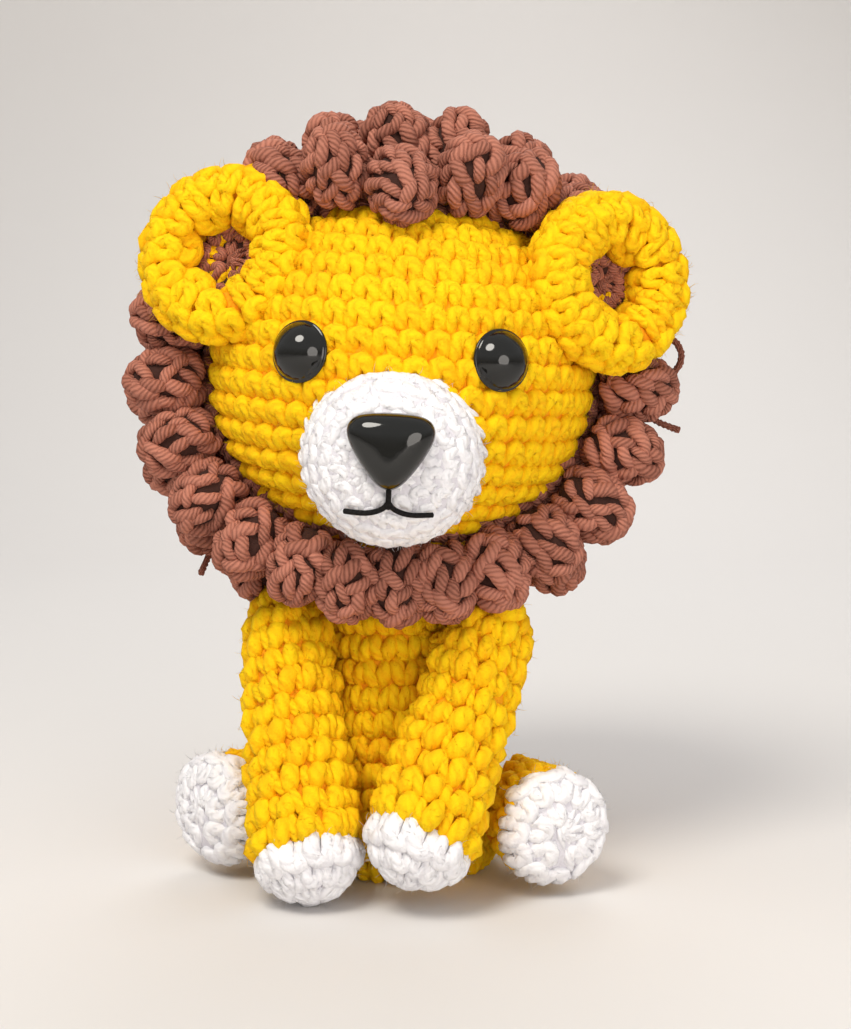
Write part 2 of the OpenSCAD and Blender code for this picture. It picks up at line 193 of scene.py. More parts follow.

# %% [markdown]
# ## Yarn, plastic and wadding
# The lion's coat is a fat, soft acrylic yarn. Its plies only show as shallow slanting creases, its
# fibres stand off as a short fuzz that catches light at grazing angles (sheen), and a gap between
# two stitches glows orange, because yellow light bounces in it; the linings under the stitches paint
# that in as shade, in a darker tone of each yarn. The mane is a thinner plied cotton, where each ply
# shows as a fine slanting line. Both patterns follow the strand: every strand's UV map holds
# millimetres along it, and the share of a turn around it.


# %% Yarn material
def yarn_material(name, light, shaded_tone, plies, twist_mm, ply_depth_mm, fuzz, sheen):
    """A plied yarn. twist_mm is the length in which a ply goes once round the strand."""
    material = bpy.data.materials.new(name)
    material.use_nodes = True
    tree = material.node_tree
    shader = tree.nodes["Principled BSDF"]
    strand = add(tree, "ShaderNodeSeparateXYZ", None, {0: add(tree, "ShaderNodeUVMap").outputs[0]})
    # plies: a sine across the strand that winds along it
    turns = add(tree, "ShaderNodeMath", {"operation": "MULTIPLY"}, {0: strand.outputs["Y"], 1: float(plies)})
    wind = add(tree, "ShaderNodeMath", {"operation": "MULTIPLY_ADD"},
               {0: strand.outputs["X"], 1: plies / twist_mm, 2: turns.outputs[0]})
    place = add(tree, "ShaderNodeTexCoord")
    # the hand that spins and pulls the yarn is never even
    drift = add(tree, "ShaderNodeTexNoise", None,
                {"Vector": place.outputs["Object"], "Scale": 1 / (3.5 * MM), "Detail": 1.0})
    wander = add(tree, "ShaderNodeMath", {"operation": "MULTIPLY_ADD"},
                 {0: drift.outputs[0], 1: 0.9, 2: wind.outputs[0]})
    angle = add(tree, "ShaderNodeMath", {"operation": "MULTIPLY"}, {0: wander.outputs[0], 1: 2 * math.pi})
    wave = add(tree, "ShaderNodeMath", {"operation": "SINE"}, {0: angle.outputs[0]})
    ply = add(tree, "ShaderNodeMath", {"operation": "MULTIPLY_ADD"}, {0: wave.outputs[0], 1: 0.5, 2: 0.5})
    round_ply = add(tree, "ShaderNodeMath", {"operation": "POWER"}, {0: ply.outputs[0], 1: 0.6})
    # fibres: fine noise, drawn out along the strand
    fibres = add(tree, "ShaderNodeTexNoise", None,
                 {"Vector": place.outputs["Object"], "Scale": 1 / (0.55 * MM), "Detail": 3.0, "Roughness": 0.65})
    relief = add(tree, "ShaderNodeMath", {"operation": "MULTIPLY_ADD"},
                 {0: fibres.outputs[0], 1: fuzz, 2: round_ply.outputs[0]})
    bump = add(tree, "ShaderNodeBump", None,
               {"Height": relief.outputs[0], "Distance": ply_depth_mm * MM, "Strength": 1.0})
    # colour: painted shade between the plies, and a little different from stitch to stitch
    tint = add(tree, "ShaderNodeAttribute", {"attribute_name": "tint"})
    share = add(tree, "ShaderNodeMath", {"operation": "MULTIPLY_ADD"},
                {0: round_ply.outputs[0], 1: 0.45, 2: tint.outputs["Fac"]})
    speckle_and_ply_shade = add(tree, "ShaderNodeMath", {"operation": "MULTIPLY_ADD", "use_clamp": True},
                  {0: fibres.outputs[0], 1: 0.35, 2: share.outputs[0]})
    colour = add(tree, "ShaderNodeMix", {"data_type": "RGBA"},
                 {0: speckle_and_ply_shade.outputs[0], 6: linear(shaded_tone), 7: linear(light)})
    tree.links.new(colour.outputs[2], shader.inputs["Base Color"])
    tree.links.new(bump.outputs[0], shader.inputs["Normal"])
    shader.inputs["Roughness"].default_value = 0.85
    shader.inputs["Specular IOR Level"].default_value = 0.25
    shader.inputs["Sheen Weight"].default_value = sheen
    shader.inputs["Sheen Roughness"].default_value = 0.45
    shader.inputs["Sheen Tint"].default_value = linear(light)
    return material


def lining_material(name, colour):
    """The inside of the fabric, seen only down the gaps between stitches."""
    material = bpy.data.materials.new(name)
    material.use_nodes = True
    tree = material.node_tree
    shader = tree.nodes["Principled BSDF"]
    place = add(tree, "ShaderNodeTexCoord")
    fibres = add(tree, "ShaderNodeTexNoise", None,
                 {"Vector": place.outputs["Object"], "Scale": 1 / (0.8 * MM), "Detail": 3.0})
    bump = add(tree, "ShaderNodeBump", None, {"Height": fibres.outputs[0], "Distance": 0.4 * MM})
    tree.links.new(bump.outputs[0], shader.inputs["Normal"])
    shader.inputs["Base Color"].default_value = linear(colour)
    shader.inputs["Roughness"].default_value = 0.95
    return material


# each yarn is mixed from a lit tone and a shaded tone; the shaded tone is painted shade between the plies
yellow_yarn = yarn_material("acrylic_yarn_yellow", "#ffd105", "#ffb000", 3, 8.0, 0.24, 1.3, 0.35)
white_yarn = yarn_material("acrylic_yarn_white", "#f9f8fb", "#e6e4ea", 3, 9.0, 0.2, 1.3, 0.3)
brown_yarn = yarn_material("mercerised_cotton_brown", "#bb7a66", "#5e3023", 5, 5.0, 0.2, 0.35, 0.15)
black_thread = yarn_material("embroidery_thread_black", "#1d1a1a", "#050505", 2, 2.0, 0.1, 0.2, 0.05)
# the linings take a darker, shaded tone of each yarn: painted shade, seen down the gaps between stitches
yellow_shade_lining = lining_material("painted_shade_lining_yellow", "#f8a800")
white_shade_lining = lining_material("painted_shade_lining_white", "#e0dde4")
brown_shade_lining = lining_material("painted_shade_lining_brown", "#3a1d14")
wadding = lining_material("polyester_wadding", "#efe9dc")


# %% Moulded plastic
def plastic_material(name, colour, roughness):
    """Injection-moulded and polished: a hard clear gloss with the faintest orange peel."""
    material = bpy.data.materials.new(name)
    material.use_nodes = True
    tree = material.node_tree
    shader = tree.nodes["Principled BSDF"]
    place = add(tree, "ShaderNodeTexCoord")
    peel = add(tree, "ShaderNodeTexNoise", None,
               {"Vector": place.outputs["Object"], "Scale": 1 / (2.5 * MM), "Detail": 1.0})
    bump = add(tree, "ShaderNodeBump", None, {"Height": peel.outputs[0], "Distance": 0.03 * MM})
    tree.links.new(bump.outputs[0], shader.inputs["Normal"])
    shader.inputs["Base Color"].default_value = linear(colour)
    shader.inputs["Roughness"].default_value = roughness
    shader.inputs["IOR"].default_value = 1.52
    return material


black_plastic = plastic_material("moulded_acrylic_black", "#141412", 0.07)
white_plastic = plastic_material("moulded_polyethylene_white", "#e6e6e2", 0.4)

# %% [markdown]
# ## Drawing one strand
# A strand is a round tube swept along a path, with rounded ends and a UV map that runs with it.
# Six to eight sides are enough, because it is thin and shaded smooth.


# %% Sweep a strand along a path
def strand_mesh(name, paths, sides=8):
    """A mesh of tubes. Each path is a list of (x, y, z, radius) in millimetres."""
    verts, faces, uvs = [], [], []
    for path in paths:
        points = np.array([p[:3] for p in path], float)
        radii = [p[3] for p in path]
        ways = np.gradient(points, axis=0)
        ways /= np.linalg.norm(ways, axis=1)[:, None]
        run = np.concatenate([[0], np.cumsum(np.linalg.norm(np.diff(points, axis=0), axis=1))])
        across = np.cross(ways[0], [0.31, 0.17, 0.94])
        start = len(verts)
        for way, point, radius in zip(ways, points, radii):
            across = across - way * (across @ way)
            across /= np.linalg.norm(across)
            other = np.cross(way, across)
            for k in range(sides):
                a = 2 * math.pi * k / sides
                verts.append(point + radius * (math.cos(a) * across + math.sin(a) * other))
        rings = len(points)
        for i in range(rings - 1):
            for k in range(sides):
                n = (k + 1) % sides
                faces.append((start + i * sides + k, start + i * sides + n,
                              start + (i + 1) * sides + n, start + (i + 1) * sides + k))
                uvs += [(run[i], k / sides), (run[i], (k + 1) / sides),
                        (run[i + 1], (k + 1) / sides), (run[i + 1], k / sides)]
        for end, ring, sign in ((0, 0, -1), (rings - 1, rings - 1, 1)):
            pole = len(verts)
            verts.append(points[end] + sign * ways[end] * radii[end] * 0.6)
            for k in range(sides):
                n = (k + 1) % sides
                a, b = start + ring * sides + k, start + ring * sides + n
                faces.append((a, pole, b) if sign < 0 else (b, pole, a))
                rims = [(run[ring], k / sides), (run[ring] + sign, (k + 0.5) / sides), (run[ring], (k + 1) / sides)]
                uvs += rims if sign < 0 else rims[::-1]
    mesh = bpy.data.meshes.new(name)
    mesh.from_pydata([tuple(v * MM) for v in np.array(verts)], [], faces)
    layer = mesh.uv_layers.new(name="UVMap")
    layer.data.foreach_set("uv", np.array(uvs, np.float32).ravel())
    mesh.shade_smooth()
    return mesh


def shelf(name, meshes):
    """A collection of shapes that a tree can pick from; it isn't part of the scene."""
    box = bpy.data.collections.new(name)
    for i, mesh in enumerate(meshes):
        box.objects.link(bpy.data.objects.new(f"{name}_{i}", mesh))
    return box


# %% [markdown]
# ## The single crochet stitch
# Seen from outside, each single crochet is a fat V. It comes up out of the middle of the stitch
# below, its two legs swell outwards, and their ends dive under the next round. It looks different
# on each part, so there are three kinds, and five slightly different ones of each kind stop the
# fabric from looking printed. Bobbles and seams are made of plain short strands, and the soft
# acrylic yarns also have loose fibres all over them.

# %% Stitch shapes
STITCH_W, STITCH_H = 5.3, 5.5  # millimetres from stitch to stitch, and from round to round
dice = random.Random(11)


def stitch(legs, bottom, loose, favour=0.0):
    """One V. legs lists the right leg from its end down; favour makes one leg fatter than the other."""
    def shaken(p, side):
        x, y, z = (v + dice.uniform(-loose, loose) for v in (side * p[0], p[1], p[2]))
        return x, y, z + 0.5 * favour * side, p[3] * (1 + favour * side)

    return [shaken(p, -1) for p in legs] + [shaken(bottom, 0)] + [shaken(p, 1) for p in legs[::-1]]


def stitch_shelf(name, *shape):
    return shelf(name, [strand_mesh(f"{name}_{i}", [stitch(*shape)], 7) for i in range(5)])


# worked downwards, each V stands on its head: its bottom is a broad ridge
ridge_legs = [(1.3, 4.0, -1.9, 1.2), (1.45, 2.7, -0.8, 1.55), (1.65, 1.1, 0.1, 1.75), (1.0, -0.3, 0.45, 1.8)]
ridges = stitch_shelf("ridge_stitch", ridge_legs, (0, -0.7, 0.45, 1.8), 0.16)
# worked upwards, the two legs show as a pair of round lobes
lobe_legs = [(1.5, 4.3, -1.5, 1.1), (1.6, 3.0, -0.15, 1.55), (1.35, 1.5, 0.1, 1.6), (0.75, 0.0, -0.5, 1.4)]
lobe_bottom = (0, -0.9, -1.2, 1.1)
lobes = stitch_shelf("lobe_stitch", lobe_legs, lobe_bottom, 0.2)
# on a thin tube the work twists, so one leg lies on top of the other
twisted = stitch_shelf("twisted_stitch", lobe_legs, lobe_bottom, 0.3, 0.24)


def grain(length, thick, arch):
    """A short stretch of strand whose ends tuck in, as a bobble shows them."""
    return [(dice.uniform(-0.2, 0.2), length / 2 * t, -arch * t * t, thick * (1 - 0.45 * t**4))
            for t in np.linspace(-1, 1, 6)]


grain_meshes = [strand_mesh(f"grain_{i}", [grain(5.0 + i * 0.45, 1.2 + 0.07 * i, 1.5)], 7) for i in range(5)]
grains = shelf("bobble_strand", grain_meshes)
whips = shelf("whip_stitch", [strand_mesh(f"whip_{i}", [grain(5.0 + i * 0.4, 0.8, 1.3)]) for i in range(3)])


def fibre():
    """One loose fibre, 1.7 mm long: a bent, closed spike on three sides."""
    rings = [(0.0, 0.0, 0.0, 0.055), (0.12, 0.0, 0.6, 0.045), (0.5, 0.15, 1.2, 0.035)]
    verts = [(x + r * math.cos(a), y + r * math.sin(a), z) for x, y, z, r in rings for a in (0, 2.1, 4.2)]
    verts.append((1.05, 0.4, 1.6))
    faces = [(0, 2, 1)]
    for first in (0, 3):
        for k in range(3):
            n = (k + 1) % 3
            faces.append((first + k, first + n, first + 3 + n, first + 3 + k))
    faces += [(6 + k, 6 + (k + 1) % 3, 9) for k in range(3)]
    mesh = bpy.data.meshes.new("fibre")
    mesh.from_pydata([tuple(c * MM for c in v) for v in verts], [], faces)
    mesh.uv_layers.new(name="UVMap")
    mesh.shade_smooth()
    return bpy.data.objects.new("fibre", mesh)


hair = fibre()

# %% [markdown]
# ## A tree that lays shapes on a chart
# A chart is a cloud of points, one for each stitch, that also stores which way is out of the fabric,
# which way the work runs, how big the stitch is, and a tint. The tree picks one of the shapes for
# each point, turns it to fit, shakes it a little, makes real mesh of it, and adds the lining.


# %% Build the tree
def laying_tree():
    tree = bpy.data.node_groups.new("lay_on_chart", "GeometryNodeTree")
    face = tree.interface
    face.new_socket("Chart", in_out="INPUT", socket_type="NodeSocketGeometry")
    for name, kind in (("Shapes", "NodeSocketCollection"), ("Lining", "NodeSocketObject"), ("Shake", "NodeSocketFloat"),
                       ("Uneven", "NodeSocketFloat"), ("Seed", "NodeSocketInt"), ("Yarn", "NodeSocketMaterial"),
                       ("Fibre", "NodeSocketObject"), ("Fuzz", "NodeSocketFloat")):
        face.new_socket(name, in_out="INPUT", socket_type=kind)
    face.new_socket("Fabric", in_out="OUTPUT", socket_type="NodeSocketGeometry")
    given = add(tree, "NodeGroupInput").outputs

    def stored(name):
        kind = {"data_type": "FLOAT_VECTOR"}
        return add(tree, "GeometryNodeInputNamedAttribute", kind, {"Name": name}).outputs[0]

    def dice_vector(low, high, seed):
        roll = add(tree, "FunctionNodeRandomValue", {"data_type": "FLOAT_VECTOR"}, {0: low, 1: high, "Seed": seed})
        return roll.outputs[0]

    shapes = add(tree, "GeometryNodeCollectionInfo", None,
                 {"Collection": given["Shapes"], "Separate Children": True, "Reset Children": True})
    pick = add(tree, "FunctionNodeRandomValue", {"data_type": "INT"}, {4: 0, 5: 999, "Seed": given["Seed"]})
    fit = add(tree, "FunctionNodeAxesToRotation", {"primary_axis": "Z", "secondary_axis": "Y"},
              {0: stored("out"), 1: stored("along")})
    roll = dice_vector((-1, -1, -1), (1, 1, 1), given["Seed"])
    tilt = add(tree, "ShaderNodeVectorMath", {"operation": "SCALE"}, {0: roll, "Scale": given["Shake"]})
    shaken = add(tree, "FunctionNodeRotateRotation", {"rotation_space": "LOCAL"},
                 {0: fit.outputs[0], 1: tilt.outputs[0]})
    next_seed = add(tree, "ShaderNodeMath", {"operation": "ADD"}, {0: given["Seed"], 1: 7.0})
    roll = dice_vector((-1, -1, -1), (1, 1, 1), next_seed.outputs[0])
    grow = add(tree, "ShaderNodeVectorMath", {"operation": "SCALE"}, {0: roll, "Scale": given["Uneven"]})
    grown = add(tree, "ShaderNodeVectorMath", {"operation": "ADD"}, {0: grow.outputs[0], 1: (1, 1, 1)})
    size = add(tree, "ShaderNodeVectorMath", {"operation": "MULTIPLY"}, {0: stored("size"), 1: grown.outputs[0]})
    laid = add(tree, "GeometryNodeInstanceOnPoints", None,
               {"Points": given["Chart"], "Instance": shapes.outputs[0], "Pick Instance": True,
                "Instance Index": pick.outputs[2], "Rotation": shaken.outputs[0], "Scale": size.outputs[0]})
    real = add(tree, "GeometryNodeRealizeInstances", None, {0: laid.outputs[0]})
    # loose fibres stand off the yarn all over
    roots = add(tree, "GeometryNodeDistributePointsOnFaces", None,
                {"Mesh": real.outputs[0], "Density": given["Fuzz"], "Seed": given["Seed"]})
    lean = dice_vector((-0.9, -0.9, -3.1), (0.9, 0.9, 3.1), given["Seed"])
    combed = add(tree, "FunctionNodeRotateRotation", {"rotation_space": "LOCAL"},
                 {0: roots.outputs["Rotation"], 1: lean})
    length = dice_vector((0.6, 0.6, 0.5), (1.3, 1.3, 1.2), next_seed.outputs[0])
    one_fibre = add(tree, "GeometryNodeObjectInfo", None, {"Object": given["Fibre"]})
    fibres = add(tree, "GeometryNodeInstanceOnPoints", None,
                 {"Points": roots.outputs["Points"], "Instance": one_fibre.outputs["Geometry"],
                  "Rotation": combed.outputs[0], "Scale": length})
    fluffy = add(tree, "GeometryNodeJoinGeometry", None, {0: real.outputs[0]})
    tree.links.new(add(tree, "GeometryNodeRealizeInstances", None, {0: fibres.outputs[0]}).outputs[0], fluffy.inputs[0])
    dyed = add(tree, "GeometryNodeSetMaterial", None, {"Geometry": fluffy.outputs[0], "Material": given["Yarn"]})
    lining = add(tree, "GeometryNodeObjectInfo", None, {"Object": given["Lining"]})
    both = add(tree, "GeometryNodeJoinGeometry")
    tree.links.new(lining.outputs["Geometry"], both.inputs[0])
    tree.links.new(dyed.outputs[0], both.inputs[0])
    tree.links.new(both.outputs[0], add(tree, "NodeGroupOutput").inputs[0])
    return tree


lay = laying_tree()
sockets = {item.name: item.identifier for item in lay.interface.items_tree if item.in_out == "INPUT"}
print("tree inputs:", list(sockets))


# %% Run the tree on a chart
def lay_fabric(name, places, shapes, yarn, lining=None, shake=6, uneven=0.06, seed=1, fuzz=0.0):
    """Makes a piece of fabric. A place is (point, out, along, size, tint), its point in millimetres.

    fuzz is the number of loose fibres on each square millimetre of yarn.
    """
    chart = bpy.data.meshes.new(name + "_chart")
    chart.from_pydata([tuple(Vector(p[0]) * MM) for p in places], [], [])
    for column, label in ((1, "out"), (2, "along"), (3, "size")):
        values = np.array([tuple(p[column]) for p in places], np.float32).ravel()
        chart.attributes.new(label, "FLOAT_VECTOR", "POINT").data.foreach_set("vector", values)
    tints = np.array([p[4] for p in places], np.float32)
    chart.attributes.new("tint", "FLOAT", "POINT").data.foreach_set("value", tints)
    piece = bpy.data.objects.new(name, chart)
    scene.collection.objects.link(piece)
    laying = piece.modifiers.new("laying", "NODES")
    laying.node_group = lay
    settings = {"Shapes": shapes, "Lining": lining, "Shake": math.radians(shake), "Uneven": uneven, "Seed": seed,
                "Yarn": yarn, "Fibre": hair, "Fuzz": fuzz / MM**2}
    for label, value in settings.items():
        laying[sockets[label]] = value
    bpy.context.view_layer.update()
    real = bpy.data.meshes.new_from_object(piece.evaluated_get(bpy.context.evaluated_depsgraph_get()))
    piece.modifiers.clear()
    piece.data = real
    for spare in ("out", "along", "size"):
        if spare in real.attributes:
            real.attributes.remove(real.attributes[spare])
    print(f"{name}: {len(places)} stitches, {len(real.polygons)} faces")
    return piece


def hand_over(piece, body, slot, *stands_for, fill=None):
    """Parents a piece to the body it rides on and hides the CAD nodes it stands for; slot, what it is made of, is not
    used.
    """
    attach(piece, body)
    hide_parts(*stands_for)


# %% [markdown]
# ## Frames for the parts of the toy
# Each part has its own frame, with +Z along it, so that its rounds can be worked out flat and then
# carried to where the part sits. These repeat the part's own design: the head leans 2.5 degrees to
# the side, and the body below it is turned by 12 degrees.


# %% Frames
def turned(axis, degrees):
    return Matrix.Rotation(math.radians(degrees), 4, axis)


def moved(point):
    return Matrix.Translation(point)


def along(way):
    """Turns +Z onto a direction."""
    v = Vector(way)
    return turned("Z", math.degrees(math.atan2(v.y, v.x))) @ turned("Y", math.degrees(math.acos(v.z / v.length)))


IN_HEAD = moved((0, -1, 108.5)) @ turned("Y", 2.5)
IN_BODY = turned("Z", -12)
MIRROR = Matrix.Diagonal((-1, 1, 1, 1))
SIDES = {"left": MIRROR, "right": Matrix.Identity(4)}


def carry(place, matrix):
    point, out, way, size, tint = place
    turn = matrix.to_3x3()
    return (matrix @ Vector(point), turn @ Vector(out), turn @ Vector(way), size, tint)


# %% [markdown]
# ## Working in rounds
# A round part is worked in a spiral: six stitches into a ring, then six more each round until it is
# wide enough. So the chart walks along the part's outline, and in each round it fits a multiple of
# six stitches. Each stitch sits a little to the side of the one below, which is why crocheted tubes
# always seem to twist slightly.


# %% Rounds on an outline
def follow(outline):
    """The length of an outline of (radius, height) points, and a function from arc length to point."""
    points = np.array(outline, float)
    run = np.concatenate([[0], np.cumsum(np.linalg.norm(np.diff(points, axis=0), axis=1))])
    return run[-1], lambda s: (float(np.interp(s, run, points[:, 0])), float(np.interp(s, run, points[:, 1])))


def rounds(outline, first, last, pitch=STITCH_H, width=STITCH_W, inset=1.0, lean=0.18, turn=0.0, seed=3, hand=1):
    """Stitch places between two arc lengths of an outline, in the part's own frame.

    hand is 1 for an outline drawn upwards and -1 for one drawn downwards, so that out is out.
    """
    length, at = follow(outline)
    toss = random.Random(seed)
    places, start = [], first
    while start < last - 0.35 * pitch:
        radius = at(min(start + pitch / 2, length))[0]
        count = max(6, 6 * round(2 * math.pi * radius / (6 * width)))
        turn += lean * 2 * math.pi / count
        for k in range(count):
            s = start + pitch * k / count  # a spiral: the round ends one pitch further on
            (r, z), (r1, z1), (r2, z2) = at(s), at(s - 1.5), at(s + 1.5)
            size = math.hypot(r2 - r1, z2 - z1) or 1.0
            dr, dz = (r2 - r1) / size, (z2 - z1) / size
            a = turn + 2 * math.pi * k / count
            out = Vector((dz * math.cos(a), dz * math.sin(a), -dr)) * hand
            way = Vector((dr * math.cos(a), dr * math.sin(a), dz))
            point = Vector((r * math.cos(a), r * math.sin(a), z)) - out * inset
            wide = 2 * math.pi * max(r, radius * 0.8) / count / STITCH_W
            fit = (wide, pitch / STITCH_H, 0.5 + 0.5 * wide)
            places.append((point, out, way, fit, toss.uniform(0.1, 0.5)))
        start += pitch
    return places


def rounds_down(outline, *args, **settings):
    """The same for work that starts at the outline's far end."""
    return rounds(outline[::-1], *args, **settings, hand=-1)


def flattened(places, share):
    """The same stitches pressed flat, as a tightly stuffed part in fluffy yarn shows them."""
    return [(point, out, way, (fit[0] * 1.1, fit[1], fit[2] * share), tint) for point, out, way, fit, tint in places]


# %% The lining under the stitches
def circle(r, z, steps):
    return [(r * math.cos(2 * math.pi * k / steps), r * math.sin(2 * math.pi * k / steps), z) for k in range(steps)]


def closed_faces(rings, steps):
    """Faces of a closed shape whose points are a pole, rings from one end to the other, and a pole."""
    faces = [(0, 1 + (k + 1) % steps, 1 + k) for k in range(steps)]
    for i in range(rings - 1):
        for k in range(steps):
            a, b = 1 + i * steps + k, 1 + i * steps + (k + 1) % steps
            faces.append((a, b, b + steps, a + steps))
    last = 1 + (rings - 1) * steps
    return faces + [(last + steps, last + k, last + (k + 1) % steps) for k in range(steps)]


def solid(name, points, faces, material):
    """An object, not yet in the scene, from points in millimetres, with every face turned outwards."""
    mesh = bpy.data.meshes.new(name)
    mesh.from_pydata([tuple(p * MM) for p in points], [], faces)
    mesh.materials.append(material)
    mesh.validate()
    mesh.update()
    work = bmesh.new()
    work.from_mesh(mesh)
    bmesh.ops.recalc_face_normals(work, faces=work.faces)
    work.to_mesh(mesh)
    work.free()
    mesh.shade_smooth()
    return bpy.data.objects.new(name, mesh)


def revolve(name, outline, material, matrix, inset=1.9, steps=40, push=None):
    """A closed round shape just under the stitches. push moves a point, where another piece is in the way."""
    length, at = follow(outline)
    inner = []
    for s in np.linspace(0, length, max(12, int(length / 2.5))):
        (r, z), (r1, z1), (r2, z2) = at(s), at(s - 1), at(s + 1)
        n = math.hypot(r2 - r1, z2 - z1)
        r, z = r - inset * (z2 - z1) / n, z + inset * (r2 - r1) / n
        if r > 0.4:
            inner.append((r, z))
    verts = [(0, 0, inner[0][1])]
    for r, z in inner:
        verts += circle(r, z, steps)
    verts.append((0, 0, inner[-1][1]))
    points = [matrix @ Vector(v) for v in verts]
    if push:
        points = [push(p) for p in points]
    return solid(name, points, closed_faces(len(inner), steps), material)


# %% [markdown]
# ## The head
# The head is a slightly flattened ball, worked from the top down, so its Vs stand on their heads.
# Places on it are given by a latitude, counted in degrees from its widest ring towards its back, and
# by an angle psi round it, counted from the top. The mane's rows follow these, and lean forward over
# the forehead and below the chin. The stitches that the mane's cap hides are left out.

# %% Head
FUZZ = 0.16  # loose fibres on each square millimetre of the acrylic yarns
HEAD_R, HEAD_H = 41.0, 38.0  # radius of the widest ring, and half the height
ROWS, SIDE_LAT, ROW_STEP = 6, -3.0, 17.0  # rows of the mane, the first one's latitude, and the step
FOREHEAD_LEAN, CHIN_LEAN = 24.0, 32.0  # degrees by which the first row comes forward there


def head_point(lat, psi):
    a, b = math.radians(lat), math.radians(psi)
    rho = math.cos(a) / math.sqrt((math.sin(b) / HEAD_R) ** 2 + (math.cos(b) / HEAD_H) ** 2)
    return Vector((rho * math.sin(b), HEAD_R * math.sin(a), rho * math.cos(b)))


def head_normal(p):
    return Vector((p.x / HEAD_R**2, p.y / HEAD_R**2, p.z / HEAD_H**2)).normalized()


def head_share(p):
    """How far out a point is from the head's centre: 1 on its skin, less inside."""
    return math.sqrt((p.x**2 + p.y**2) / HEAD_R**2 + p.z**2 / HEAD_H**2)


def row_lat(row, psi):
    c = math.cos(math.radians(psi))
    lean = FOREHEAD_LEAN * max(0, c) ** 4 + CHIN_LEAN * ((1 - c) / 2) ** 3
    return SIDE_LAT + row * ROW_STEP - lean * (1 - row / ROWS)


def before_mane(place, margin=9):
    """True for a stitch of the face or of the neck's surroundings, which the cap doesn't hide."""
    x, y, z = place[0]
    lat = math.degrees(math.asin(max(-1.0, min(1.0, y / HEAD_R))))
    return lat < row_lat(0, math.degrees(math.atan2(x, z))) + margin or (math.hypot(x, y) < 24 and z < 0)


head_outline = [(0, -HEAD_H)]
head_outline += [(HEAD_R - HEAD_H + HEAD_H * math.cos(math.radians(a)), HEAD_H * math.sin(math.radians(a)))
                 for a in np.arange(-90, 91, 5)]
head_outline.append((0, HEAD_H))
places = rounds_down(head_outline, 1.0, follow(head_outline)[0] - 1.0, turn=0.4)
places = [carry(p, IN_HEAD) for p in places if before_mane(p)]
lining = revolve("head_lining", head_outline, yellow_shade_lining, IN_HEAD, inset=0.95, steps=64)
head = lay_fabric("head_fabric", places, ridges, yellow_yarn, lining, seed=2, fuzz=FUZZ)
hand_over(head, "head", "yellow_yarn", "head_shell", fill=0.9)

# %% [markdown]
# ## The muzzle
# A white cap, worked from its tip outwards and sewn on. It is stuffed tightly, so its stitches lie flat.

# %% Muzzle
MUZZLE_R, MUZZLE_LEN, MUZZLE_FOOT = 18.2, 19.0, 4.0
MUZZLE_SHAPE = 0.8  # less than 1 makes the tip blunter than a ball
IN_MUZZLE = IN_HEAD @ moved((-0.6, -33, -14.5)) @ along((-0.02, -1, -0.09)) @ turned("Z", 180)
muzzle_outline = [(MUZZLE_R, -2.0)]
muzzle_outline += [(MUZZLE_R * max(math.cos(math.radians(a)), 0) ** MUZZLE_SHAPE,
                    MUZZLE_FOOT + (MUZZLE_LEN - MUZZLE_FOOT) * math.sin(math.radians(a))) for a in range(0, 91, 5)]


def clear_of_head(place, depth):
    """True if a place lies no deeper than that in the head."""
    return head_share(IN_HEAD.inverted() @ place[0]) > 1 - depth / HEAD_R


places = rounds_down(muzzle_outline, 0.8, follow(muzzle_outline)[0], pitch=4.2, width=4.4)
places = [carry(p, IN_MUZZLE) for p in flattened(places, 0.5)]
places = [p for p in places if clear_of_head(p, 0.5)]
lining = revolve("muzzle_lining", muzzle_outline, white_shade_lining, IN_MUZZLE, inset=0.45)
muzzle = lay_fabric("muzzle_fabric", places, ridges, white_yarn, lining, shake=5, seed=5, fuzz=FUZZ)
hand_over(muzzle, "head", "white_yarn", "muzzle_shell", fill=0.8)

# %% [markdown]
# ## Body, arms and legs
# Stuffed tubes with round ends. The body is worked upwards from its base. Arms and legs are worked
# from the white tip towards the shoulder or hip, and change yarn on the way: as each yellow V grows
# out of the middle of a white stitch, the border becomes a zigzag by itself.


# %% Body
def smooth(t):
    return t * t * (3 - 2 * t)


def sin_cos(degrees):
    return math.sin(math.radians(degrees)), math.cos(math.radians(degrees))


BODY_R, NECK_R, BODY_H = 24.0, 16.5, 66.0
BASE_R, BASE_RISE, TOP_EDGE = 16.0, 12.0, 5.0  # flat base, its rounded rise, and the rounding at the neck
body_outline = [(0, 0), (BASE_R, 0)]
body_outline += [(BASE_R + (BODY_R - BASE_R) * s, BASE_RISE * (1 - c)) for s, c in map(sin_cos, range(15, 91, 15))]
body_outline += [(BODY_R + (NECK_R - BODY_R) * sin_cos(90 * t)[0], BASE_RISE + (BODY_H - BASE_RISE - TOP_EDGE) * t)
                 for t in np.arange(0.1, 0.95, 0.1)]
body_outline += [(11 + 5.5 * c, BODY_H - TOP_EDGE + TOP_EDGE * s) for s, c in map(sin_cos, range(0, 91, 15))]
body_outline.append((0, BODY_H))
places = [carry(p, IN_BODY) for p in rounds(body_outline, 0.5, follow(body_outline)[0] - 4, inset=1.3)]
lining = revolve("body_lining", body_outline, yellow_shade_lining, IN_BODY, steps=56)
body = lay_fabric("body_fabric", places, lobes, yellow_yarn, lining, seed=8, fuzz=FUZZ)
hand_over(body, "body", "yellow_yarn", "body_shell", fill=0.8)


